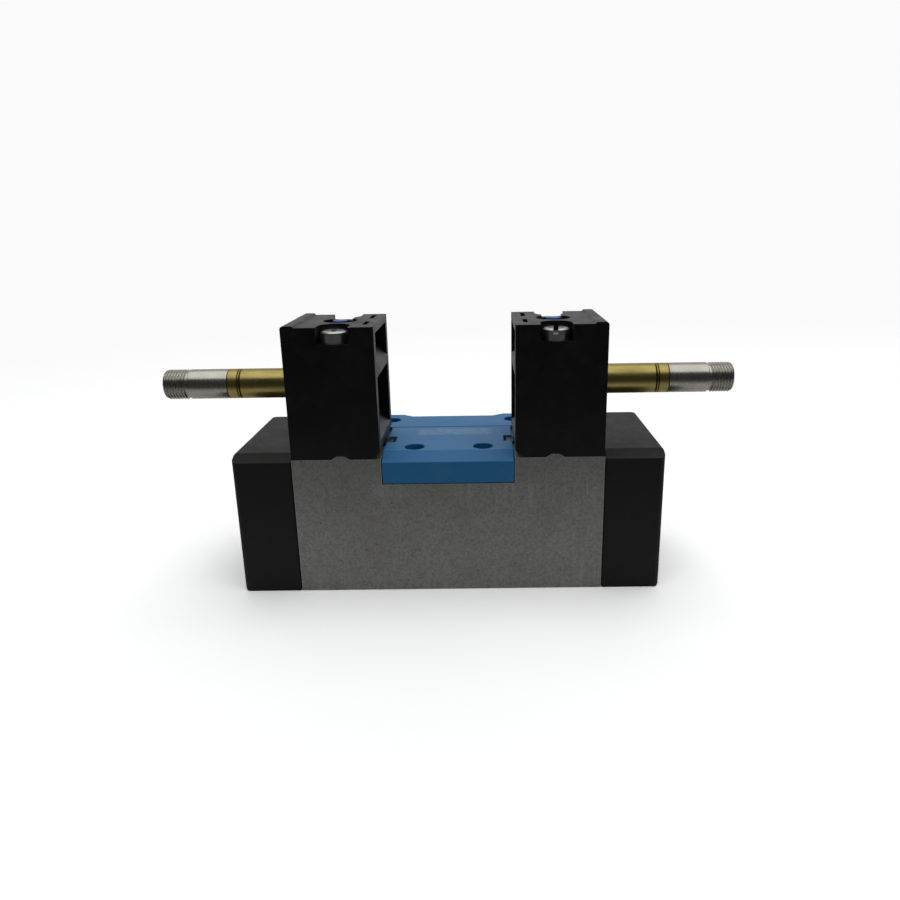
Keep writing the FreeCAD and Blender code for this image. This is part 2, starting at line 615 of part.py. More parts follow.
def make_plunger():
    """The nose cone is at 45 degrees, so the override foot moves the plunger as far as it is pressed."""
    cone_end = "cone_start + plunger_radius - nose_radius"
    return turned("plunger_right", [
        ("nose_tip", "disc_radius + 0.02"), ("nose_tip", "nose_radius"), ("cone_start", "nose_radius"),
        (cone_end, "plunger_radius"), ("plunger_tail", "plunger_radius"),
        ("plunger_tail", "spring_well_radius"),
        ("plunger_tail - spring_well_depth", "spring_well_radius"), ("plunger_tail - spring_well_depth", "0"),
        ("nose_tip + disc_depth", "0"), ("nose_tip + disc_depth", "disc_radius + 0.02")], **ON_AXIS)


def make_plunger_seal():
    return turned("plunger_seal_right", [
        ("nose_tip - 0.04", "0"), ("nose_tip + disc_depth - 0.02", "0"),
        ("nose_tip + disc_depth - 0.02", "disc_radius"), ("nose_tip - 0.04", "disc_radius")], **ON_AXIS)


def make_seat_nozzle():
    return turned("seat_nozzle_right", [
        ("nozzle_start", "orifice_radius"), ("nose_tip - 0.1", "orifice_radius"),
        ("nose_tip - 0.1", "nozzle_tip_radius"), ("nose_tip - 0.7", "nozzle_radius"),
        ("nozzle_start", "nozzle_radius")], **ON_AXIS)


def make_override_button():
    """A push pin whose foot is cut at 45 degrees to lie along the plunger's nose cone."""
    place = ("override_place", "-tube_side")
    stem = rod("button_stem", "button_radius", "button_foot", "button_top - button_foot", *place, "0")
    flange = rod("button_flange", "flange_radius", "flange_top - flange_thick", "flange_thick",
                 *place, "0")
    slope = block("button_slope", ("0", "-tube_side - foot_slope/2", "0"),
                  ("foot_slope", "-tube_side + foot_slope/2", "foot_slope"))
    slope.Placement.Rotation = FreeCAD.Rotation(FreeCAD.Vector(0, 1, 0), -45)
    # the cutting face runs along the cone's upper line, a seat gap above it
    line = "cone_start - tube_height - nose_radius - sqrt(2)*seat_gap"
    bind(slope, Placement__Base__x=f"button_foot - 2 + {line} + foot_slope/sqrt(2)",
         Placement__Base__z="button_foot - 2 - foot_slope/sqrt(2)")
    body = cut("override_button_right", joined("button_blank", [stem, flange]), slope)
    body.Label = "override_button_right"
    return body


def make_override_guide():
    place = ("override_place", "-tube_side")
    top = "block_top - recess_drop - guide_head"
    foot = "flange_top + seat_gap"
    sleeve = rod("guide_sleeve", "guide_radius", foot, f"{top} - ({foot})", *place, "0")
    hole = rod("guide_hole", "guide_bore", "flange_top - 1", "20", *place, "0")
    return cut("override_guide_right", sleeve, hole)


def make_spring(label, coil, wire, start, length, turns, along, across, height, turn=UPRIGHT):
    """A round-wire compression spring, swept along a helix."""
    helix = doc.addObject("Part::Helix", label + "_path")
    bind(helix, Radius=coil, Height=f"({length}) - 2*{wire}", Pitch=f"(({length}) - 2*{wire})/{turns}")
    section = doc.addObject("Part::Circle", label + "_wire")
    section.Placement.Rotation = FreeCAD.Rotation(FreeCAD.Vector(1, 0, 0), 90)
    bind(section, Radius=wire, Placement__Base__x=coil)
    spring = doc.addObject("Part::Sweep", label)
    spring.Label = label
    spring.Sections = [section]
    spring.Spine = (helix, ["Edge1"])
    spring.Solid = True
    spring.Frenet = True
    spring.Placement.Rotation = turn
    lift = f"{start} + {wire}"
    if turn is ALONG_X:
        bind(spring, Placement__Base__x=lift, Placement__Base__y=across, Placement__Base__z=height)
    else:
        bind(spring, Placement__Base__x=along, Placement__Base__y=across, Placement__Base__z=lift)
    return spring


# ---------------------------------------------------------------- spool train

def make_spool():
    """Three lands and two necks; it is stored at the left end of its travel."""
    inner = "land_half"
    outer = "2*port_pitch - land_half"
    return turned("spool", [
        ("-spool_end - spigot_length", "0"), ("spool_end + spigot_length", "0"),
        ("spool_end + spigot_length", "spigot_radius"), ("spool_end", "spigot_radius"),
        ("spool_end", "spool_radius"), (outer, "spool_radius"), (f"{outer} - 1", "relief_neck"),
        (f"{inner} + 1", "relief_neck"), (inner, "spool_radius"), (f"-{inner}", "spool_radius"),
        (f"-{inner} - 1", "relief_neck"), (f"1 - ({outer})", "relief_neck"), (f"-({outer})", "spool_radius"),
        ("-spool_end", "spool_radius"), ("-spool_end", "spigot_radius"),
        ("-spool_end - spigot_length", "spigot_radius")], height="bore_height", along="-half_stroke")


def make_piston(label, side):
    inner = "spool_end + 0.02"
    outer = "spool_end + piston_thick"
    middle = "spool_end + piston_thick/2"
    groove = "(piston_seal_width/2 + seat_gap)"
    outline = [(inner, "spigot_radius + 0.02"), ("spool_end + spigot_length + 0.02", "spigot_radius + 0.02"),
               ("spool_end + spigot_length + 0.02", "0"), (outer, "0"), (outer, "piston_radius"),
               (f"{middle} + {groove}", "piston_radius"), (f"{middle} + {groove}", "seal_groove_radius"),
               (f"{middle} - {groove}", "seal_groove_radius"), (f"{middle} - {groove}", "piston_radius"),
               (inner, "piston_radius")]
    return turned(label, [(f"{side}*({place})", radius) for place, radius in outline],
                  height="bore_height", along="-half_stroke")


def make_piston_seal(label, side):
    middle = f"{side}*(spool_end + piston_thick/2)"
    half = "piston_seal_width/2"
    return turned(label, [(f"{middle} - {half}", "seal_groove_radius + 0.02"),
                          (f"{middle} + {half}", "seal_groove_radius + 0.02"),
                          (f"{middle} + {half}", "piston_seal_radius"),
                          (f"{middle} - {half}", "piston_seal_radius")],
                  height="bore_height", along="-half_stroke")


def ring(name, outer, inner, centre, width):
    """A plain ring round the spool axis."""
    start = f"{centre} - ({width})/2"
    shell = rod(name + "_shell", outer, start, width, "0", "0", "bore_height", ALONG_X)
    hole = rod(name + "_hole", inner, f"{start} - 1", f"{width} + 2", "0", "0", "bore_height", ALONG_X)
    return cut(name, shell, hole)


def make_spool_cages():
    """One cage at each port, with windows that let the air through on four sides."""
    cages = []
    for step in range(-2, 3):
        centre = f"{step}*port_pitch"
        name = f"cage_{step + 3}"
        low, high = f"{centre} - cage_window/2", f"{centre} + cage_window/2"
        windows = [
            block(name + "_upright", (low, "-cage_window", "bore_height - cage_radius - 1"),
                  (high, "cage_window", "bore_height + cage_radius + 1")),
            block(name + "_level", (low, "-cage_radius - 1", "bore_height - cage_window"),
                  (high, "cage_radius + 1", "bore_height + cage_window"))]
        plain = ring(name + "_ring", "cage_radius", "cage_bore", centre, "port_pitch - seal_width - 0.1")
        cages.append(cut(name, plain, joined(name + "_windows", windows)))
    return group("spool_cages", cages)


def make_spool_seals():
    seals = [ring(f"seal_{number}", "cage_radius", "seal_bore", f"{number - 3.5}*port_pitch", "seal_width")
             for number in range(1, 7)]
    return group("spool_seals", seals)


def make_spool_guides():
    """The bushes that close the ends of the bore and carry the spool."""
    inner = "2.5*port_pitch + seal_width/2 + 0.05"
    width = f"body_length/2 - 0.1 - ({inner})"
    guides = [ring(f"guide_{number}", "cage_radius", "seal_bore", f"{side}*({inner} + ({width})/2)", width)
              for number, side in ((1, -1), (2, 1))]
    return group("spool_guides", guides)


def make_all():
    singles = [make_valve_body(), make_port_gasket(), make_cover_plate(), make_spool(), make_spool_cages(),
               make_spool_seals(), make_spool_guides(),
               make_piston("piston_left", -1), make_piston("piston_right", 1),
               make_piston_seal("piston_seal_left", -1), make_piston_seal("piston_seal_right", 1)]
    rights = [make_end_cap(), make_cap_gasket(), make_cap_screws(), make_pilot_block(), make_pilot_gasket(),
              make_pilot_screws(), make_armature_tube(), make_tube_seal(), make_pole_piece(), make_plunger(),
              make_plunger_seal(), make_seat_nozzle(), make_override_button(), make_override_guide(),
              make_spring("plunger_spring_right", "1.4", "0.25",
                          "plunger_tail - spring_well_depth + 0.02",
                          "pole_face - plunger_tail + spring_well_depth - 0.04", 9,
                          "0", "-tube_side", "tube_height", ALONG_X),
              make_spring("override_spring_right", "2.4", "0.2", "well_floor + 0.02",
                          "flange_top - flange_thick - well_floor - 0.04", 3.5,
                          "override_place", "-tube_side", "0")]
    lefts = [mirrored(right.Label.replace("right", "left"), right) for right in rights]
    doc.recompute()
    return singles + rights + lefts


def check(pieces):
    """Every object must have computed, and every piece must be a valid solid."""
    for item in doc.Objects:
        if "Invalid" in item.State or "Error" in item.State:
            raise RuntimeError(f"{item.Label} failed to compute: {item.State}")
    for piece in pieces:
        shape = piece.Shape
        if shape.isNull() or not shape.isValid() or not shape.Solids:
            raise RuntimeError(f"{piece.Label} is not a valid solid")
        box = shape.BoundBox
        print(f"{piece.Label:24s} solids {len(shape.Solids)}  volume {shape.Volume:10.2f}  "
              f"x {box.XMin:7.2f} {box.XMax:7.2f}  y {box.YMin:7.2f} {box.YMax:7.2f}  "
              f"z {box.ZMin:6.2f} {box.ZMax:6.2f}")


def write(pieces):
    os.makedirs("parts", exist_ok=True)
    for piece in pieces:
        piece.Shape.exportStep(os.path.join("parts", piece.Label + ".step"))
    print(len(pieces), "pieces written")


fill_sheet()
PIECES = make_all()
check(PIECES)
write(PIECES)
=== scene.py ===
# %% [markdown]
# A solenoid directional valve. The object is a block of die-cast aluminium with a sliding spool inside.
# Two black pilot valves stand on it, a blue plate covers the middle, and a bare armature tube sticks out
# of each side, ready for a coil. The CAD model gives every part its true size and place. This lesson
# gives the parts that show soft edges, real threads and screw heads, and a finish that looks like the
# metal or plastic they are made of.

# %% Load the frame
import json
import math

import bpy
from mathutils import Matrix, Vector

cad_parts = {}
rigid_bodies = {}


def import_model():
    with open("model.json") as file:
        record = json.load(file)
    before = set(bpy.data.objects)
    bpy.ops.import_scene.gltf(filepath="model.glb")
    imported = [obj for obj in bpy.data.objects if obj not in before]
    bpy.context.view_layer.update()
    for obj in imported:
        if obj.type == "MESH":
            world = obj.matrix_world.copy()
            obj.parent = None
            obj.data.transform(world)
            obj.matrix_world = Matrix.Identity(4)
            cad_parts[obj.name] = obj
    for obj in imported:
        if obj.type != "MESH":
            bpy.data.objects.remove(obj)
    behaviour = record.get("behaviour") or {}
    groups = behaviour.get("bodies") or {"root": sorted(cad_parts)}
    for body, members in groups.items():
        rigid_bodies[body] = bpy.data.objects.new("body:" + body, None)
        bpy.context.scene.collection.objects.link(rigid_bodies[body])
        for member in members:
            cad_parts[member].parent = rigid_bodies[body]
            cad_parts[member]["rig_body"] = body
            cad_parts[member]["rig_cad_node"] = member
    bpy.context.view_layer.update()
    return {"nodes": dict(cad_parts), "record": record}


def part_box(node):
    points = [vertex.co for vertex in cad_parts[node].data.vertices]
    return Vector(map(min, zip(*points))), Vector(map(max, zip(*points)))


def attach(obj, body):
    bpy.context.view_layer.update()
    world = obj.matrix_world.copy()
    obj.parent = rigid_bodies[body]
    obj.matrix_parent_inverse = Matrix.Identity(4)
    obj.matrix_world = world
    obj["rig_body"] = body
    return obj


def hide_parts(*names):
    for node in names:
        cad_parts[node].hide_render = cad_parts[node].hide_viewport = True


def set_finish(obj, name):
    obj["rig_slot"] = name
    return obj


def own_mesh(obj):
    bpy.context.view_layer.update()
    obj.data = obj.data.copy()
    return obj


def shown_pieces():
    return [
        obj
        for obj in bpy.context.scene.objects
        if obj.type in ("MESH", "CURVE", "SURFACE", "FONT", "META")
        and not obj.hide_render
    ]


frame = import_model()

MM = 0.001
print("nodes:", len(frame["nodes"]))

# %% [markdown]
# Every operator in Blender works on whatever is selected. The loaded nodes arrive selected, so a small
# helper clears the selection and picks one object before each step. A second helper does the same inside
# edit mode.

# %% Helpers for selecting


def pick(piece):
    """Selects one object alone and makes it active."""
    if bpy.context.object and bpy.context.object.mode != "OBJECT":
        bpy.ops.object.mode_set(mode="OBJECT")
    bpy.ops.object.select_all(action="DESELECT")
    piece.select_set(True)
    bpy.context.view_layer.objects.active = piece


def edit(piece):
    """Opens a piece in edit mode with everything selected."""
    pick(piece)
    bpy.ops.object.mode_set(mode="EDIT")
    bpy.ops.mesh.select_all(action="SELECT")


def apply_all(piece):
    """Applies the piece's modifiers in order."""
    pick(piece)
    for name in [modifier.name for modifier in piece.modifiers]:
        bpy.ops.object.modifier_apply(modifier=name)


bpy.ops.object.select_all(action="DESELECT")
print("selected:", len(bpy.context.selected_objects))

# %% [markdown]
# Moulded and cast parts never have razor edges. A Bevel modifier rounds each edge that is sharper than an
# angle, and a Weighted Normal modifier keeps the large flat faces looking flat beside the small rounds.
# The CAD mesh itself must not change, so the work is done on a merged copy that stands in for the node.

# %% Helpers for soft-edged copies


def soften(piece, width, segments=3, sharper_than=20):
    """Rounds the sharp edges by a width in metres."""
    pick(piece)
    bpy.ops.object.shade_smooth()
    rounding = piece.modifiers.new("round", "BEVEL")
    rounding.width = width
    rounding.segments = segments
    rounding.limit_method = "ANGLE"
    rounding.angle_limit = math.radians(sharper_than)
    flatness = piece.modifiers.new("flat", "WEIGHTED_NORMAL")
    flatness.mode = "FACE_AREA"
    flatness.weight = 90
    apply_all(piece)


def stand_for(piece, node, slot):
    """The piece takes the node's place on the same body."""
    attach(piece, frame["nodes"][node]["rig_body"])
    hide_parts(node)
    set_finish(piece, slot)


def soft_copy(node, name, slot, width, segments=3):
    """A merged copy of a CAD node with its edges rounded."""
    piece = bpy.data.objects.new(name, frame["nodes"][node].data.copy())
    bpy.context.scene.collection.objects.link(piece)
    pick(piece)
    bpy.ops.mesh.customdata_custom_splitnormals_clear()
    edit(piece)
    bpy.ops.mesh.remove_doubles(threshold=0.002 * MM)
    bpy.ops.mesh.dissolve_degenerate(threshold=0.004 * MM)
    bpy.ops.mesh.dissolve_limited(angle_limit=math.radians(1))
    bpy.ops.object.mode_set(mode="OBJECT")
    soften(piece, width, segments)
    stand_for(piece, node, slot)
    print(name, "has", len(piece.data.polygons), "faces")
    return piece


# %% [markdown]
# The body is a zinc-grey aluminium casting, milled flat on its faces. Its edges are broken by only a
# quarter of a millimetre, so that it meets the caps in a thin line.

# %% The body
BODY_ROUND = 0.22 * MM
soft_copy("valve_body", "body_casting", "cast_aluminium", BODY_ROUND)

# %% [markdown]
# The end caps are moulded plastic. They have softer edges than the body, which is what tells the eye that
# they are plastic even where both are dark.

# %% The end caps
CAP_ROUND = 0.35 * MM
for side in ("left", "right"):
    soft_copy(f"end_cap_{side}", f"cap_{side}", "black_plastic", CAP_ROUND, 4)

# %% [markdown]
# The blue plate lies in a shallow bed in the body and folds over its front. The same method suits it: the
# holes, the seam across it and the notches beside the pilot valves come from the CAD copy.

# %% The cover plate
PLATE_ROUND = 0.22 * MM
soft_copy("cover_plate", "blue_plate", "blue_plastic", PLATE_ROUND)

# %% [markdown]
# Each pilot valve is a hollow-sided moulding with windows, slots and screw pockets. Narrow walls need a
# narrow bevel, or the rounds would run into each other.

# %% The pilot valves
PILOT_ROUND = 0.28 * MM
for side in ("left", "right"):
    soft_copy(f"pilot_block_{side}", f"pilot_{side}", "pilot_plastic", PILOT_ROUND)

# %% [markdown]
# Turned parts start as a circle. The circle is extruded along its axis ring by ring, and each new ring is
# scaled to its radius, just as a lathe tool steps along a bar.

# %% A helper for turned parts
AXES = {"X": Vector((1, 0, 0)), "-X": Vector((-1, 0, 0)), "Z": Vector((0, 0, 1))}


def turned(name, axis, origin, rings, segments=96):
    """A solid of revolution through rings of (distance along the axis, radius)."""
    direction = AXES[axis]
    lying = axis != "Z"
    first_place, first_radius = rings[0]
    bpy.ops.object.select_all(action="DESELECT")
    bpy.ops.mesh.primitive_circle_add(vertices=segments, radius=first_radius, fill_type="NGON",
                                      location=origin + direction * first_place,
                                      rotation=(0, math.radians(90) if lying else 0, 0))
    piece = bpy.context.object
    piece.name = name
    bpy.ops.object.transform_apply(location=True, rotation=True, scale=True)
    edit(piece)
    for (place, radius), (next_place, next_radius) in zip(rings, rings[1:]):
        step = direction * (next_place - place)
        bpy.ops.mesh.extrude_region_move(TRANSFORM_OT_translate={"value": step})
        grow = next_radius / radius
        scale = (1, grow, grow) if lying else (grow, grow, 1)
        bpy.ops.transform.resize(value=scale, center_override=origin + direction * next_place)
    bpy.ops.mesh.select_all(action="SELECT")
    bpy.ops.mesh.normals_make_consistent(inside=False)
    bpy.ops.object.mode_set(mode="OBJECT")
    return piece


# %% [markdown]
# The armature tube is thin brass, 7.8 mm across, with a fine rolled groove a few millimetres before the
# steel. Its collar is buried in the pilot valve. The inside is left to the CAD plunger, so the piece that
# shows is solid only where the tube is, which is done by turning the bore back in from the far end.

# %% The brass tubes
SIDES = {"left": "-X", "right": "X"}
tube_low, tube_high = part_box("armature_tube_right")
axis_point = Vector((0, (tube_low.y + tube_high.y) / 2, (tube_low.z + tube_high.z) / 2))
pole_low, pole_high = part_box("pole_piece_right")
TUBE_RADIUS = (pole_high.z - pole_low.z) / 2
TUBE_BORE = 3.06 * MM
TUBE_FOOT = tube_low.x
TUBE_JOINT = tube_high.x
COLLAR_RADIUS = (tube_high.z - tube_low.z) / 2
COLLAR_END = TUBE_FOOT + 7.4 * MM
RING = TUBE_JOINT - 3.3 * MM
SEAL_FROM = TUBE_FOOT + 1.6 * MM
SEAL_TO = TUBE_FOOT + 3.2 * MM
SEAL_DEPTH = 0.8 * MM
COLLAR_CHAMFER = 0.3 * MM
MOUTH_CHAMFER = 0.12 * MM
RIM_GAP = 0.02 * MM


def rolled_groove(place, depth, width):
    """Five rings that dip into the surface and come out again."""
    return [(place + share * width, TUBE_RADIUS - depth * dip)
            for share, dip in ((0, 0), (0.25, 0.7), (0.5, 1), (0.75, 0.7), (1, 0))]


for side, axis in SIDES.items():
    tube_rings = [(TUBE_FOOT, TUBE_BORE), (TUBE_FOOT, COLLAR_RADIUS), (SEAL_FROM, COLLAR_RADIUS),
                  (SEAL_FROM, COLLAR_RADIUS - SEAL_DEPTH), (SEAL_TO, COLLAR_RADIUS - SEAL_DEPTH),
                  (SEAL_TO, COLLAR_RADIUS), (COLLAR_END - COLLAR_CHAMFER, COLLAR_RADIUS),
                  (COLLAR_END, COLLAR_RADIUS - COLLAR_CHAMFER), (COLLAR_END, TUBE_RADIUS)]
    tube_rings += rolled_groove(RING - 0.22 * MM, 0.2 * MM, 0.44 * MM)
    tube_rings += rolled_groove(RING + 0.5 * MM, 0.08 * MM, 0.2 * MM)
    tube_rings += [(TUBE_JOINT - MOUTH_CHAMFER, TUBE_RADIUS), (TUBE_JOINT, TUBE_RADIUS - MOUTH_CHAMFER),
                   (TUBE_JOINT, TUBE_BORE), (TUBE_FOOT + RIM_GAP, TUBE_BORE)]
    tube = turned(f"brass_tube_{side}", axis, axis_point, tube_rings)
    edit(tube)
    # the two flat discs that would close the bore are taken out, and their rims are joined
    bpy.ops.mesh.select_all(action="DESELECT")
    bpy.ops.mesh.select_mode(type="FACE")
    bpy.ops.object.mode_set(mode="OBJECT")
    for face in tube.data.polygons:
        face.select = len(face.vertices) > 4
    bpy.ops.object.mode_set(mode="EDIT")
    bpy.ops.mesh.delete(type="FACE")
    bpy.ops.mesh.select_all(action="SELECT")
    bpy.ops.mesh.remove_doubles(threshold=1.5 * RIM_GAP)
    bpy.ops.mesh.normals_make_consistent(inside=False)
    bpy.ops.object.mode_set(mode="OBJECT")
    pick(tube)
    bpy.ops.object.shade_smooth_by_angle(angle=math.radians(28))
    stand_for(tube, f"armature_tube_{side}", "brass")
    print(tube.name, "has", len(tube.data.polygons), "faces")

# %% [markdown]
# The steel end carries a fine M8 thread of 0.75 mm pitch. A thread is one ridge wound round a bar, so its
# height at any point follows from how far along and how far round the point is. The bar is turned with
# many rings, and each point is then moved in or out by that rule. The ridge fades in at the start, and
# the end is chamfered.

# %% The threaded pole pieces
PITCH = 0.75 * MM
THREAD_DEPTH = 0.42 * MM
RINGS_PER_TURN = 12
POLE_END = pole_high.x
THREAD_FROM = POLE_END - 6.5 * MM
THREAD_TOP = TUBE_RADIUS
CHAMFER = 1.0 * MM
PLUG_RADIUS = TUBE_BORE - 0.03 * MM
FACE = TUBE_JOINT + 0.03 * MM
FACE_CHAMFER = 0.1 * MM
PLUG_FOOT = TUBE_JOINT - 1.9 * MM
RUNOUT = 0.25 * MM
RUNOUT_DEPTH = 0.3 * MM
CENTRE_HOLE = 1.2 * MM
CENTRE_DRILL = [(POLE_END - 0.9 * MM, 0.9 * MM), (POLE_END - 1.1 * MM, 0.05 * MM)]


def thread_radius(place, turn_share):
    """The radius of the threaded bar at a place along X and a share of a turn."""
    phase = (place / PITCH - turn_share) % 1.0
    ridge = 1.0 - abs(2.0 * phase - 1.0)
    ridge = min(1.0, max(0.0, ridge * 1.3 - 0.1))
    fade = min(1.0, max(0.0, (place - THREAD_FROM - 0.35 * MM) / (0.5 * PITCH)))
    radius = THREAD_TOP - THREAD_DEPTH + THREAD_DEPTH * ridge * fade
    into_end = (place - (POLE_END - CHAMFER)) / CHAMFER
    limit = THREAD_TOP - CHAMFER * (1 - math.sqrt(max(0.0, 1 - max(0.0, into_end) ** 2)))
    return min(radius, limit)


for side, axis in SIDES.items():
    pole_rings = [(PLUG_FOOT, PLUG_RADIUS), (FACE, PLUG_RADIUS),
                  (FACE, TUBE_RADIUS - FACE_CHAMFER), (FACE + FACE_CHAMFER, TUBE_RADIUS),
                  (THREAD_FROM - RUNOUT, TUBE_RADIUS), (THREAD_FROM, TUBE_RADIUS - RUNOUT_DEPTH)]
    count = int((POLE_END - THREAD_FROM) / PITCH * RINGS_PER_TURN)
    for step in range(1, count):
        place = THREAD_FROM + (POLE_END - THREAD_FROM) * step / count
        pole_rings.append((place, TUBE_RADIUS - 0.4 * MM))
    pole_rings += [(POLE_END, TUBE_RADIUS - CHAMFER), (POLE_END, CENTRE_HOLE), *CENTRE_DRILL]
    pole = turned(f"steel_end_{side}", axis, axis_point, pole_rings)
    for vertex in pole.data.vertices:
        offset = vertex.co - axis_point
        place = abs(offset.x)
        across = math.hypot(offset.y, offset.z)
        if place > THREAD_FROM + 0.01 * MM and across > 1.5 * MM:
            turn_share = math.atan2(offset.z, offset.y) / (2 * math.pi)
            new = thread_radius(place, turn_share)
            vertex.co.y = axis_point.y + offset.y * new / across
            vertex.co.z = axis_point.z + offset.z * new / across
    pick(pole)
    bpy.ops.object.shade_smooth_by_angle(angle=math.radians(50))
    stand_for(pole, f"pole_piece_{side}", "stainless_steel")
    print(pole.name, "thread turns:", round((POLE_END - THREAD_FROM) / PITCH, 1))

# %% [markdown]
# The pilot valves are held by zinc-plated cheese-head screws with a slot and a cross in one recess. The
# head is turned, the recess is cut by two crossed blades with a Boolean modifier, and the edges are
# broken. Screws are tightened by feel, so no two slots point the same way.

# %% The pilot screws
screw_low, screw_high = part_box("pilot_screws_right")
HEAD_RADIUS = (screw_high.x - screw_low.x) / 2
HEAD_TOP = screw_high.z
HEAD_FOOT = HEAD_TOP - 3.1 * MM
SHANK_RADIUS = 2.0 * MM
SLOT_TURN = {("left", "front"): 6, ("left", "rear"): 71, ("right", "front"): 84, ("right", "rear"): 33}


# how far below its top, and in from its rim, the crown of a head is at each ring
CROWN = ((0.7 * MM, 0), (0.35 * MM, 0.12 * MM), (0.1 * MM, 0.45 * MM), (0, 0.95 * MM))
# the length, width and height of the blades that cut the slot and the cross
SLOT_BLADE = (8 * MM, 1.25 * MM, 2.4 * MM)
CROSS_BLADE = (3.9 * MM, 1.15 * MM, 3.2 * MM)
SCREW_SEGMENTS = 72
TIP_CHAMFER = 0.4 * MM
TIP_LENGTH = 0.5 * MM
UNDERCUT = 0.1 * MM


def blade(centre, size, turn):
    """A cutting box, turned about the upright axis through its centre."""
    bpy.ops.object.select_all(action="DESELECT")
    bpy.ops.mesh.primitive_cube_add(size=1, location=centre, rotation=(0, 0, turn))
    box = bpy.context.object
    box.scale = size
    bpy.ops.object.transform_apply(location=True, rotation=True, scale=True)
    return box


def cut_away(piece, cutter):
    """Cuts one object out of another and removes the cutter."""
    cutting = piece.modifiers.new("cut", "BOOLEAN")
    cutting.operation = "DIFFERENCE"
    cutting.solver = "EXACT"
    cutting.object = cutter
    apply_all(piece)
    bpy.data.objects.remove(cutter)


def cheese_head(name, centre, turn):
    """One screw, head and shank, with a combined slot and cross."""
    rings = [(screw_low.z, SHANK_RADIUS - TIP_CHAMFER), (screw_low.z + TIP_LENGTH, SHANK_RADIUS),
             (HEAD_FOOT, SHANK_RADIUS), (HEAD_FOOT, HEAD_RADIUS - UNDERCUT),
             (HEAD_FOOT + UNDERCUT, HEAD_RADIUS)]
    rings += [(HEAD_TOP - drop, HEAD_RADIUS - inset) for drop, inset in CROWN]
    screw = turned(name, "Z", centre, rings, SCREW_SEGMENTS)
    slot_middle = Vector((centre.x, centre.y, HEAD_TOP - 0.1 * MM))
    cut_away(screw, blade(slot_middle, SLOT_BLADE, turn))
    for extra in (0, 90):
        cut_away(screw, blade(slot_middle, CROSS_BLADE, turn + math.radians(extra)))
    soften(screw, 0.07 * MM, 2)
    return screw


for side, sign in (("left", -1), ("right", 1)):
    pair = []
    for row, across in (("front", screw_low.y + HEAD_RADIUS), ("rear", screw_high.y - HEAD_RADIUS)):
        centre = Vector((sign * (screw_low.x + screw_high.x) / 2, across, 0))
        turn = math.radians(SLOT_TURN[side, row])
        pair.append(cheese_head(f"pilot_screw_{row}_{side}", centre, turn))
    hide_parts(f"pilot_screws_{side}")
    for screw in pair:
        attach(screw, "valve")
        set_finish(screw, "zinc_steel")
        print(screw.name, "has", len(screw.data.polygons), "faces")

# %% [markdown]
# The override is a blue push pin in a black guide. Both are small mouldings, so a merged copy with a fine
# bevel is enough. The socket screws at the ends of the caps get the same care.

# %% Override pins, guides and cap screws
SMALL_PIECES = (("override_button", "override_pin", "override_blue", 0.22 * MM, 4),
                ("override_guide", "pin_guide", "pilot_plastic", 0.12 * MM, 2),
                ("cap_screws", "socket_screws", "zinc_steel", 0.15 * MM, 2))
for side in ("left", "right"):
    for node_name, new_name, slot, width, segments in SMALL_PIECES:
        soft_copy(f"{node_name}_{side}", f"{new_name}_{side}", slot, width, segments)

# %% [markdown]
# The four return springs, which the plungers and the override pins press shorter as they move, are plain
# copies of the drawn coils and keep their drawn length. A coil is already round, so nothing is bevelled,
# and only its flat ends stay sharp.


def spring_copy(node, name):
    """A smooth-shaded copy of a drawn coil that takes the node's place."""
    piece = bpy.data.objects.new(name, frame["nodes"][node].data.copy())
    bpy.context.scene.collection.objects.link(piece)
    pick(piece)
    bpy.ops.mesh.customdata_custom_splitnormals_clear()
    edit(piece)
    bpy.ops.mesh.remove_doubles(threshold=0.002 * MM)
    bpy.ops.object.mode_set(mode="OBJECT")
    bpy.ops.object.shade_smooth_by_angle(angle=math.radians(40))
    stand_for(piece, node, "spring_steel")
    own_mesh(piece)


for side, sign in (("left", -1), ("right", 1)):
    spring_copy(f"plunger_spring_{side}", f"plunger_coil_{side}")
    spring_copy(f"override_spring_{side}", f"override_coil_{side}")

# %% [markdown]
# Now the finishes. A finish is more than a colour: cast metal is mottled, plastic has a fine grain, a
# turned bar has rings. Each is drawn with noise in the object's own coordinates, in metres, so a scale of
# 1000 gives features about a millimetre across. These helpers keep every material short to write.

# %% Helpers for materials


def display(red, green, blue):
    """A colour given as it looks on a display, 0 to 255, as the linear values that a shader needs."""
    shares = [value / 255 for value in (red, green, blue)]
    return tuple(((s + 0.055) / 1.055) ** 2.4 if s > 0.04 else s / 12.92 for s in shares)


def finish_of(name, colour, metallic, roughness):
    """A new material and its main shader."""
    material = bpy.data.materials.new(name)
    material.use_nodes = True
    shader = material.node_tree.nodes["Principled BSDF"]
    shader.inputs["Base Color"].default_value = (*colour, 1)
    shader.inputs["Metallic"].default_value = metallic
    shader.inputs["Roughness"].default_value = roughness
    return material, shader


def node(material, kind, **settings):
    made = material.node_tree.nodes.new(kind)
    for name, value in settings.items():
        setattr(made, name, value)
    return made


def link(material, source, target):
    material.node_tree.links.new(source, target)


def noise(material, scale, stretch=(1, 1, 1), detail=4.0, roughness=0.55):
    """A noise value from 0 to 1, stretched along the axes by the given factors."""
    where = node(material, "ShaderNodeTexCoord")
    mapping = node(material, "ShaderNodeMapping")
    mapping.inputs["Scale"].default_value = stretch
    pattern = node(material, "ShaderNodeTexNoise")
    pattern.inputs["Scale"].default_value = scale
    pattern.inputs["Detail"].default_value = detail
    pattern.inputs["Roughness"].default_value = roughness
    link(material, where.outputs["Object"], mapping.inputs["Vector"])
    link(material, mapping.outputs["Vector"], pattern.inputs["Vector"])
    return pattern.outputs["Fac"]


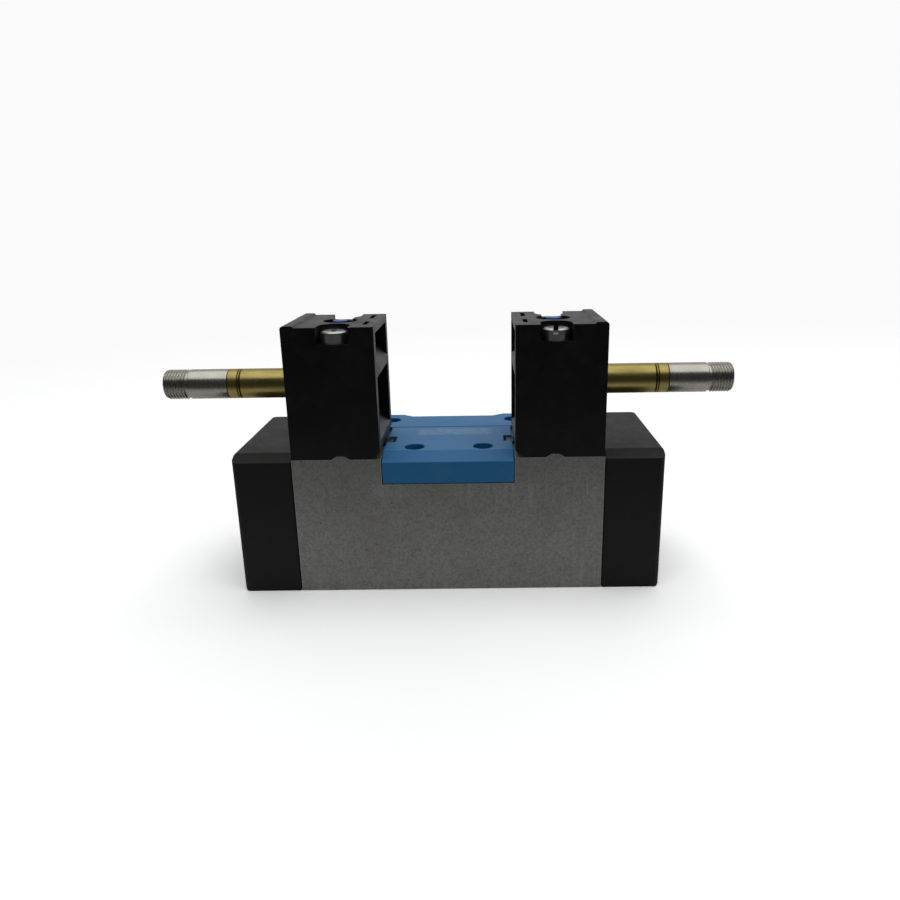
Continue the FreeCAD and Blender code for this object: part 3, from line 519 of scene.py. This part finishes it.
def spread(material, value, low, high, start=0.3, end=0.7):
    """Stretches the part of a value between start and end to run from low to high."""
    ranged = node(material, "ShaderNodeMapRange")
    for name, number in (("From Min", start), ("From Max", end), ("To Min", low), ("To Max", high)):
        ranged.inputs[name].default_value = number
    link(material, value, ranged.inputs["Value"])
    return ranged.outputs["Result"]


def mixed(material, share, first, second):
    """A colour between two; each is a colour or a socket."""
    mixing = node(material, "ShaderNodeMix", data_type="RGBA")
    link(material, share, mixing.inputs[0])
    for index, colour in ((6, first), (7, second)):
        if isinstance(colour, tuple):
            mixing.inputs[index].default_value = (*colour, 1)
        else:
            link(material, colour, mixing.inputs[index])
    return mixing.outputs[2]


def multiplied(material, first, second):
    product = node(material, "ShaderNodeMath", operation="MULTIPLY")
    link(material, first, product.inputs[0])
    link(material, second, product.inputs[1])
    return product.outputs[0]


def near(material, axis, places, reach):
    """1 on each of some planes across an axis, falling to 0 at a reach from it."""
    where = node(material, "ShaderNodeTexCoord")
    split = node(material, "ShaderNodeSeparateXYZ")
    link(material, where.outputs["Object"], split.inputs["Vector"])
    share = None
    for place in places:
        rising = spread(material, split.outputs[axis], 0, 1, place - reach, place)
        falling = spread(material, split.outputs[axis], 1, 0, place, place + reach)
        line = multiplied(material, rising, falling)
        if share is None:
            share = line
            continue
        either = node(material, "ShaderNodeMath", operation="MAXIMUM")
        link(material, share, either.inputs[0])
        link(material, line, either.inputs[1])
        share = either.outputs[0]
    return share


def relief(material, shader, height, strength, depth):
    """Bump from a height value; depth is in metres."""
    bump = node(material, "ShaderNodeBump")
    bump.inputs["Strength"].default_value = strength
    bump.inputs["Distance"].default_value = depth
    link(material, height, bump.inputs["Height"])
    link(material, bump.outputs["Normal"], shader.inputs["Normal"])


# painted highlight as well as wear: every finish that uses this mask lightens its sharp edges
def edges(material, reach, low=0.02, high=0.25):
    """0 on flat ground and 1 within a reach of a sharp edge: the mask for edge wear and for a painted
    highlight along the edges.
    """
    rounded = node(material, "ShaderNodeBevel", samples=4)
    rounded.inputs["Radius"].default_value = reach
    shape = node(material, "ShaderNodeNewGeometry")
    alike = node(material, "ShaderNodeVectorMath", operation="DOT_PRODUCT")
    link(material, rounded.outputs["Normal"], alike.inputs[0])
    link(material, shape.outputs["Normal"], alike.inputs[1])
    return spread(material, alike.outputs["Value"], 1, 0, 1 - high, 1 - low)


# %% [markdown]
# The casting is ground aluminium: a mid grey with fine grain and a close mottle, and warmer stains where
# hands have been. Its roughness follows the mottle, because a dark fleck is duller than the metal round
# it. Faint upright rubs show below the plate and along the foot. The sharp edges are painted a little
# brighter, partly as knocked metal and partly as a painted highlight.

# %% Cast aluminium
def cast_aluminium():
    ground, warm, dull = display(192, 193, 189), display(183, 179, 168), display(150, 150, 146)
    pale, dark, hollow = display(236, 236, 232), display(138, 139, 137), display(70, 68, 64)
    material, shader = finish_of("ground_casting", ground, 1.0, 0.5)
    stains = noise(material, 70, detail=6, roughness=0.62)
    grain = noise(material, 3200, detail=3, roughness=0.7)
    streaks = noise(material, 1100, (1, 1, 0.05), detail=3)
    mottle = noise(material, 1250, detail=5, roughness=0.72)
    patches = noise(material, 75, (1, 1, 0.2), detail=2)
    rub_heights = near(material, "Z", [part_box("cover_plate")[0].z - 2 * MM, 3.5 * MM], 5 * MM)
    pits = noise(material, 900, detail=1)
    base = mixed(material, spread(material, stains, 0, 1, 0.45, 0.7), ground, warm)
    base = mixed(material, spread(material, mottle, 0, 0.75, 0.42, 0.7), base, dull)
    streaked = multiplied(material, spread(material, streaks, 0, 0.6, 0.45, 0.75), rub_heights)
    rubbed = multiplied(material, streaked, spread(material, patches, 0, 1, 0.45, 0.6))
    base = mixed(material, rubbed, base, pale)
    base = mixed(material, spread(material, grain, 0, 0.55, 0.4, 0.75), base, dark)
    base = mixed(material, spread(material, pits, 0.7, 0, 0.2, 0.26), base, hollow)
    # painted highlight as well as knocks: the sharp edges are lightened towards pale
    base = mixed(material, edges(material, 0.35 * MM), base, pale)
    link(material, base, shader.inputs["Base Color"])
    link(material, spread(material, mottle, 0.4, 0.58, 0.35, 0.7), shader.inputs["Roughness"])
    relief(material, shader, grain, 0.4, 0.05 * MM)
    return material


# %% [markdown]
# Two black plastics: the caps are a matt glass-filled moulding with a visible grain, and the pilot valves
# are a finer, slightly glossier one. Handling leaves faint grey scuffs on both. The sharp edges are
# painted the same grey, partly as scuffs and partly as a painted highlight.

# %% Black plastics
def black_plastic(name, colour, scuff_and_highlight, roughness, grain_scale, grain_depth):
    material, shader = finish_of(name, colour, 0.0, roughness)
    dust = noise(material, 160, detail=7, roughness=0.7)
    grain = noise(material, grain_scale, detail=2)
    base = mixed(material, spread(material, dust, 0, 0.5, 0.5, 0.75), colour, scuff_and_highlight)
    # painted highlight as well as scuffs: the sharp edges take the lighter grey
    base = mixed(material, edges(material, 0.3 * MM), base, scuff_and_highlight)
    link(material, base, shader.inputs["Base Color"])
    link(material, spread(material, dust, roughness - 0.06, roughness + 0.1), shader.inputs["Roughness"])
    relief(material, shader, grain, 0.35, grain_depth)
    return material


# %% [markdown]
# The plate is dyed blue plastic with a satin skin. A band across its middle has been printed and rubbed,
# and what is left is a paler blur, drawn here as noise inside a soft-edged rectangle. The rectangle is
# the product of four ramps, one for each side.

# %% Blue plastics
def soft_rectangle(material, across, along, fade):
    """1 inside a rectangle in X and Y, falling to 0 over a fade at each side."""
    where = node(material, "ShaderNodeTexCoord")
    split = node(material, "ShaderNodeSeparateXYZ")
    link(material, where.outputs["Object"], split.inputs["Vector"])
    share = None
    for axis_name, (low, high) in (("X", across), ("Y", along)):
        rising = spread(material, split.outputs[axis_name], 0, 1, low, low + fade)
        falling = spread(material, split.outputs[axis_name], 1, 0, high - fade, high)
        side = multiplied(material, rising, falling)
        share = side if share is None else multiplied(material, share, side)
    return share


def blue_plastic(name, colour, worn_and_highlight, roughness, band=None):
    material, shader = finish_of(name, colour, 0.0, roughness)
    clouds = noise(material, 140, detail=5)
    grain = noise(material, 2400, detail=2)
    base = mixed(material, spread(material, clouds, 0, 0.6), colour, worn_and_highlight)
    if band is not None:
        rubs = noise(material, 1300, (0.45, 1, 1), detail=6, roughness=0.8)
        inside = soft_rectangle(material, *band, 1.6 * MM)
        left = multiplied(material, inside, spread(material, rubs, 0.1, 0.8, 0.4, 0.62))
        base = mixed(material, left, base, display(158, 190, 220))
    # painted highlight as well as wear: the sharp edges take the paler blue
    base = mixed(material, edges(material, 0.25 * MM), base, worn_and_highlight)
    link(material, base, shader.inputs["Base Color"])
    varied = spread(material, clouds, roughness - 0.05, roughness + 0.08)
    link(material, varied, shader.inputs["Roughness"])
    relief(material, shader, grain, 0.2, 0.03 * MM)
    return material


# %% [markdown]
# Brass, stainless steel and zinc are all metals, so their colour is the colour of their reflection. Drawn
# brass has marks along the tube, turned steel has marks round it, and zinc plating is cloudy. A thin
# brown tarnish sits where the brass has been heated or touched.

# %% Bright metals
# the joint with the steel and the two rolled grooves; the lines in the grooves are painted shade
GROOVE_AND_JOINT_LINES = [sign * place for sign in (-1, 1) for place in (TUBE_JOINT, RING, RING + 0.6 * MM)]


def drawn_brass():
    clean, brown, groove_shade_and_joint_brown = display(196, 180, 110), display(134, 110, 62), display(58, 40, 20)
    material, shader = finish_of("drawn_brass", clean, 1.0, 0.3)
    tarnish = noise(material, 220, (0.4, 1, 1), detail=6, roughness=0.7)
    drawn = noise(material, 1500, (0.05, 1, 1), detail=3)
    base = mixed(material, spread(material, tarnish, 0, 0.55, 0.45, 0.75), clean, brown)
    base = mixed(material, spread(material, drawn, 0, 0.25, 0.45, 0.75), base, brown)
    # painted shade in the two rolled grooves, and a dark brown line at the joint with the steel
    base = mixed(material, near(material, "X", GROOVE_AND_JOINT_LINES, 0.3 * MM), base, groove_shade_and_joint_brown)
    link(material, base, shader.inputs["Base Color"])
    link(material, spread(material, tarnish, 0.24, 0.4), shader.inputs["Roughness"])
    relief(material, shader, drawn, 0.08, 0.02 * MM)
    return material


def turned_metal(name, colour, dull, roughness, stretch):
    material, shader = finish_of(name, colour, 1.0, roughness)
    marks = noise(material, 3400, stretch, detail=3)
    clouds = noise(material, 260, detail=5)
    base = mixed(material, spread(material, clouds, 0, 0.5, 0.4, 0.75), colour, dull)
    link(material, base, shader.inputs["Base Color"])
    varied = spread(material, marks, roughness - 0.02, roughness + 0.03)
    link(material, varied, shader.inputs["Roughness"])
    relief(material, shader, marks, 0.03, 0.004 * MM)
    return material


# %% [markdown]
# Rubber seals, nylon cages and the anodised spool are hidden inside, but they show when the valve is
# taken apart or cut open, so each has a real finish as well.

# %% Inner finishes
def plain_moulding(name, colour, fleck, roughness):
    material, shader = finish_of(name, colour, 0.0, roughness)
    flow = noise(material, 400, detail=5)
    grain = noise(material, 3000, detail=2)
    base = mixed(material, spread(material, flow, 0, 1), colour, fleck)
    link(material, base, shader.inputs["Base Color"])
    varied = spread(material, grain, roughness - 0.08, roughness + 0.08)
    link(material, varied, shader.inputs["Roughness"])
    relief(material, shader, grain, 0.25, 0.03 * MM)
    return material


AROUND_X = (1, 0.06, 0.06)
AROUND_Z = (0.15, 0.15, 1)
BAND = ((-9.7 * MM, 12 * MM), (-3.4 * MM, 4.3 * MM))
FINISHES = {
    "cast_aluminium": cast_aluminium(),
    "black_plastic": black_plastic(
        "cap_plastic", display(17, 17, 17), display(40, 39, 38), 0.5, 1500, 0.05 * MM),
    "pilot_plastic": black_plastic(
        "pilot_plastic", display(15, 15, 15), display(40, 39, 38), 0.37, 2200, 0.02 * MM),
    "blue_plastic": blue_plastic("plate_blue", display(46, 142, 214), display(66, 154, 212), 0.44, BAND),
    "override_blue": blue_plastic("pin_blue", display(42, 104, 204), display(66, 124, 200), 0.38),
    "brass": drawn_brass(),
    "stainless_steel": turned_metal(
        "turned_stainless", display(208, 204, 194), display(180, 176, 166), 0.26, AROUND_X),
    "zinc_steel": turned_metal(
        "zinc_plate", display(222, 224, 222), display(196, 200, 196), 0.36, AROUND_Z),
    "spring_steel": turned_metal(
        "spring_wire", display(176, 176, 176), display(120, 118, 114), 0.32, (1, 1, 1)),
    "anodised_aluminium": turned_metal(
        "anodised_spool", display(150, 152, 158), display(128, 130, 138), 0.36, AROUND_X),
    "seal_rubber": plain_moulding("seal_rubber", display(26, 26, 27), display(40, 40, 41), 0.7),
    "glass_filled_plastic": plain_moulding(
        "cage_plastic", display(214, 208, 192), display(196, 188, 170), 0.5),
}
print("finishes:", ", ".join(sorted(FINISHES)))

# %% [markdown]
# Each piece names the slot of its finish, and the nodes that stay as they are find theirs in the record.
# So one loop can dress the whole valve.

# %% Dress every part
slot_of_node = {part["node"]: part["material_slot"] for part in frame["record"]["subparts"]}
dressed = 0
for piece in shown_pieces():
    slot = piece.get("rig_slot") or slot_of_node[piece["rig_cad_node"]]
    piece.data.materials.clear()
    piece.data.materials.append(FINISHES[slot])
    dressed += 1
print("pieces dressed:", dressed)

# %% [markdown]
# The stage is a pale floor that curves up into a wall, so that no horizon shows. It is a plane, its rear
# edge is extruded upwards, and the crease between floor and wall is bevelled into a wide curve.

# %% The stage
FLOOR_HALF = 1.6
bpy.ops.object.select_all(action="DESELECT")
bpy.ops.mesh.primitive_plane_add(size=2 * FLOOR_HALF, location=(0, 0, 0))
floor = bpy.context.object
floor.name = "floor"
edit(floor)
bpy.ops.mesh.select_mode(type="EDGE")
bpy.ops.mesh.select_all(action="DESELECT")
bpy.ops.object.mode_set(mode="OBJECT")
for edge in floor.data.edges:
    ends = [floor.data.vertices[index].co for index in edge.vertices]
    edge.select = all(end.y > FLOOR_HALF - 0.01 for end in ends)
bpy.ops.object.mode_set(mode="EDIT")
bpy.ops.mesh.extrude_region_move(TRANSFORM_OT_translate={"value": (0, 0, 2.2)})
bpy.ops.object.mode_set(mode="OBJECT")
curve = floor.modifiers.new("curve", "BEVEL")
curve.width = 0.7
curve.segments = 16
curve.limit_method = "ANGLE"
apply_all(floor)
bpy.ops.object.shade_smooth()
print("floor faces:", len(floor.data.polygons))

# %% [markdown]
# The paper should look white without throwing white light back on the object. The floor does this by
# asking which ray has reached it. The camera sees bright paper. Every other ray meets a duller one, which
# is darker still in front of the valve, where someone who stands there would shade the table.

# %% The floor's paper
SHADED_FROM, SHADED_TO = -0.055, -0.15
WALL_FROM, WALL_TO = 0.25, 1.3
paper, paper_shader = finish_of("pale_paper", (0.7, 0.7, 0.7), 0.0, 0.9)
paper_shader.inputs["Specular IOR Level"].default_value = 0.0
where = node(paper, "ShaderNodeTexCoord")
split = node(paper, "ShaderNodeSeparateXYZ")
link(paper, where.outputs["Object"], split.inputs["Vector"])
open_table = spread(paper, split.outputs["Y"], 0, 1, SHADED_TO, SHADED_FROM)
reflecting = mixed(paper, open_table, (0.1, 0.1, 0.1), (0.82, 0.82, 0.82))
link(paper, reflecting, paper_shader.inputs["Base Color"])
far = spread(paper, split.outputs["Y"], 0, 1, WALL_FROM, WALL_TO)
link(paper, mixed(paper, far, (0, 0, 0), (0.33, 0.33, 0.33)), paper_shader.inputs["Emission Color"])
paper_shader.inputs["Emission Strength"].default_value = 1.0

seen_near = node(paper, "ShaderNodeBsdfDiffuse")
seen_near.inputs["Color"].default_value = (2.5, 2.5, 2.5, 1)
seen_far = node(paper, "ShaderNodeEmission")
seen_far.inputs["Color"].default_value = (0.96, 0.96, 0.96, 1)
seen = node(paper, "ShaderNodeMixShader")
link(paper, spread(paper, split.outputs["Y"], 0, 1, 0.06, 0.5), seen.inputs["Fac"])
link(paper, seen_near.outputs["BSDF"], seen.inputs[1])
link(paper, seen_far.outputs["Emission"], seen.inputs[2])
ray = node(paper, "ShaderNodeLightPath")
either = node(paper, "ShaderNodeMixShader")
link(paper, ray.outputs["Is Camera Ray"], either.inputs["Fac"])
link(paper, paper_shader.outputs["BSDF"], either.inputs[1])
link(paper, seen.outputs["Shader"], either.inputs[2])
link(paper, either.outputs["Shader"], paper.node_tree.nodes["Material Output"].inputs["Surface"])
floor.data.materials.append(paper)
print("paper nodes:", len(paper.node_tree.nodes))

# %% [markdown]
# The light is one large soft box overhead. It reaches from well in front of the valve to a little behind
# it, which makes the tops bright, draws a wide band of light along the tubes, and leaves the fronts dark.
# The world adds almost nothing. The view transform is the plain one, so that pale paper stays pale.

# %% The light
scene = bpy.context.scene
BOX_HEIGHT = 1.15
BOX_SIZE = 1.6
BOX_RADIANCE = 0.93
lamp = bpy.data.lights.new("soft_box", "AREA")
lamp.shape = "SQUARE"
lamp.size = BOX_SIZE
lamp.energy = BOX_RADIANCE * math.pi * BOX_SIZE ** 2
box = bpy.data.objects.new("soft_box", lamp)
box.location = (0.15, -0.08, BOX_HEIGHT)
scene.collection.objects.link(box)
world = bpy.data.worlds.new("studio")
world.use_nodes = True
world.node_tree.nodes["Background"].inputs["Color"].default_value = (0.9, 0.95, 1.0, 1)
world.node_tree.nodes["Background"].inputs["Strength"].default_value = 0.035
scene.world = world
scene.view_settings.view_transform = "Standard"
print("soft box power:", round(lamp.energy, 1), "W")

# %% [markdown]
# The camera stands 20 cm in front of the valve, a hand's breadth above its top, and looks 17 degrees
# down.

# %% The camera
lens = bpy.data.cameras.new("camera")
lens.sensor_width = 36
lens.lens = 30.2
lens.shift_x = -0.0297
lens.shift_y = 0.0028
lens.clip_start = 0.01
camera = bpy.data.objects.new("camera", lens)
DOWN, ROLL, YAW = (math.radians(angle) for angle in (17.13, 0.92, 0.56))
aimed = Matrix.Rotation(YAW, 4, "Z") @ Matrix.Rotation(math.pi / 2 - DOWN, 4, "X")
aimed = aimed @ Matrix.Rotation(-ROLL, 4, "Z")
camera.matrix_world = Matrix.Translation(Vector((9.18, -203.96, 94.6)) * MM) @ aimed
scene.collection.objects.link(camera)
scene.camera = camera
